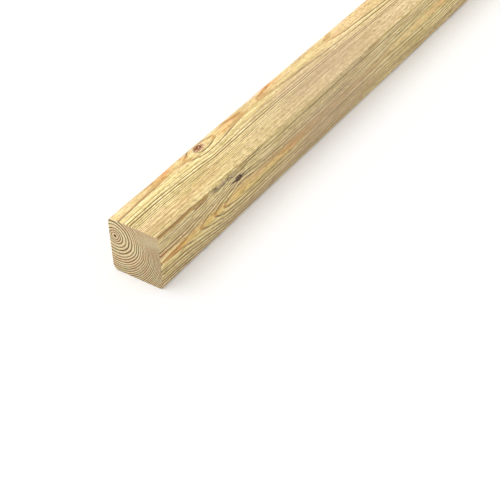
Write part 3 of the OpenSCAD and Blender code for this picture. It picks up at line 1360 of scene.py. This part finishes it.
def sawn_end():
    """The finish of the two cross-cut ends."""
    material, tree, surface = new_material("sawn_end")
    place = object_place(tree)
    yearly = stripe(tree, END_RING)
    bold = attribute_parts(tree, "marks")["X"]
    heart = attribute(tree, "heart")
    fuzz = stretched_noise(tree, place, 2200, 2200, 3.0, 0.7)
    grey = between(tree, stretched_noise(tree, place, 90, 90, 3.0), 0.35, 0.65)
    colour = blend_colour(tree, grey, END_WOOD, END_GREY)
    summer = times(tree, between(tree, yearly["Late"], 0.02, 0.3), bold, 0.4)
    colour = blend_colour(tree, summer, colour, END_SUMMER)
    patchy = scaled(tree, stretched_noise(tree, place, 480, 480), 0.9, 0.66)
    broken = scaled(tree, between(tree, fuzz, 0.35, 0.6), -0.45, 1.15)
    lines = times(tree, between(tree, yearly["Late"], 0.16, 0.95), patchy, broken, bold)
    colour = blend_colour(tree, lines, colour, END_LINE)
    greyed = maths(tree, "MAXIMUM", between(tree, heart, 18.0, 40.0), between(tree, bold, 0.95, 0.45))
    colour = blend_colour(tree, greyed, colour, END_DULL, "MULTIPLY")
    colour = blend_colour(tree, 1.0, colour, scaled(tree, fuzz, 0.6, 0.68), "MULTIPLY")
    torn_tubes = scaled(tree, stretched_noise(tree, place, 620, 620), 0.6, 0.7)
    colour = blend_colour(tree, 1.0, colour, torn_tubes, "MULTIPLY")
    speck = scaled(tree, fuzz, 1.6, heart)
    colour = blend_colour(tree, between(tree, speck, 2.2, 1.2), colour, PITH_DARK)
    wood_shader(tree, surface, colour, END_ROUGHNESS, END_SHINE, fuzz, END_BUMP)
    return material


sawn = sawn_end()
print(sawn.name, "has", len(sawn.node_tree.nodes), "nodes")

# %% [markdown]
# The stud takes both finishes. A face is sawn where it looks along the stick, and planed everywhere else.
# Smooth shading rounds the arrises off, and its limit of angle keeps the rims of the ends crisp.

# %% Dress the stud
SAWN_FACING = 0.6
SMOOTH_BELOW = math.radians(40)

stud.data.materials.clear()
stud.data.materials.append(planed)
stud.data.materials.append(sawn)
for face in stud.data.polygons:
    face.material_index = 1 if abs(face.normal.y) > SAWN_FACING else 0
bpy.ops.object.select_all(action="DESELECT")
stud.select_set(True)
bpy.context.view_layer.objects.active = stud
bpy.ops.object.shade_smooth_by_angle(angle=SMOOTH_BELOW)
print([material.name for material in stud.data.materials])

# %% [markdown]
# When the stick leaves Blender, its finish is baked into one square picture, so the skin needs a flat map.
# A long stick would waste most of a square. So the skin is cut at half its length and laid out as two
# strips, stretched across the grain, where the fine lines need the most pixels. The two ends sit above them,
# larger. The place round the section comes from the box: 2 for each side, from the bottom right corner on.

# %% The map for baking
MAP_GAP = 0.004
STRIP_HEIGHT = 0.406
END_SIZE = 0.17
ALL_ROUND = 8


def way_round(points):
    """How far round the section each point lies. The sides have their middles at 1, 3, 5 and 7."""
    side = points[:, 0] / (breadth / 2 / MM)
    height = points[:, 2] / (depth / 2 / MM) - 1
    upright = np.abs(side) >= np.abs(height)
    left_or_right = np.where(side > 0, 1, 5) + height / np.where(upright, side, 1)
    top_or_bottom = np.where(height > 0, 3, 7) - side / np.where(upright, 1, height)
    return np.where(upright, left_or_right, top_or_bottom)


def read(items, name):
    """One whole number for each face or corner."""
    found = np.empty(len(items), np.int32)
    items.foreach_get(name, found)
    return found


first_corner = read(stud.data.polygons, "loop_start")
corners_each = read(stud.data.polygons, "loop_total")
vertex = read(stud.data.loops, "vertex_index")
is_end = np.repeat(read(stud.data.polygons, "material_index") == 1, corners_each)
around = way_round(points)[vertex]
spread = np.maximum.reduceat(around, first_corner) - np.minimum.reduceat(around, first_corner)
over_the_seam = np.repeat(spread > ALL_ROUND / 2, corners_each) & (around < ALL_ROUND / 2)
around += np.where(over_the_seam, ALL_ROUND, 0)
middle_y = np.add.reduceat(y[vertex], first_corner) / corners_each
half = np.repeat(np.clip(middle_y * STRIPS // length_mm, 0, STRIPS - 1), corners_each)

strip_u = MAP_GAP + (1 - 2 * MAP_GAP) * (y[vertex] * STRIPS / length_mm - half)
strip_v = MAP_GAP + half * (STRIP_HEIGHT + MAP_GAP) + around / ALL_ROUND * STRIP_HEIGHT
end_u = MAP_GAP + half * (END_SIZE + MAP_GAP) + (points[vertex, 0] * MM / breadth + 0.5) * END_SIZE
end_v = STRIPS * (STRIP_HEIGHT + MAP_GAP) + MAP_GAP + points[vertex, 2] * MM / depth * END_SIZE
places = np.stack([np.where(is_end, end_u, strip_u), np.where(is_end, end_v, strip_v)], axis=1)
stud.data.uv_layers.new(name="OFBake").uv.foreach_set("vector", places.astype(np.float32).ravel())
print("map from", places.min(axis=0).round(3), "to", places.max(axis=0).round(3))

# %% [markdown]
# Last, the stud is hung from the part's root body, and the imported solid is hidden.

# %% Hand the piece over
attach(stud, "root")
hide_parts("stud")
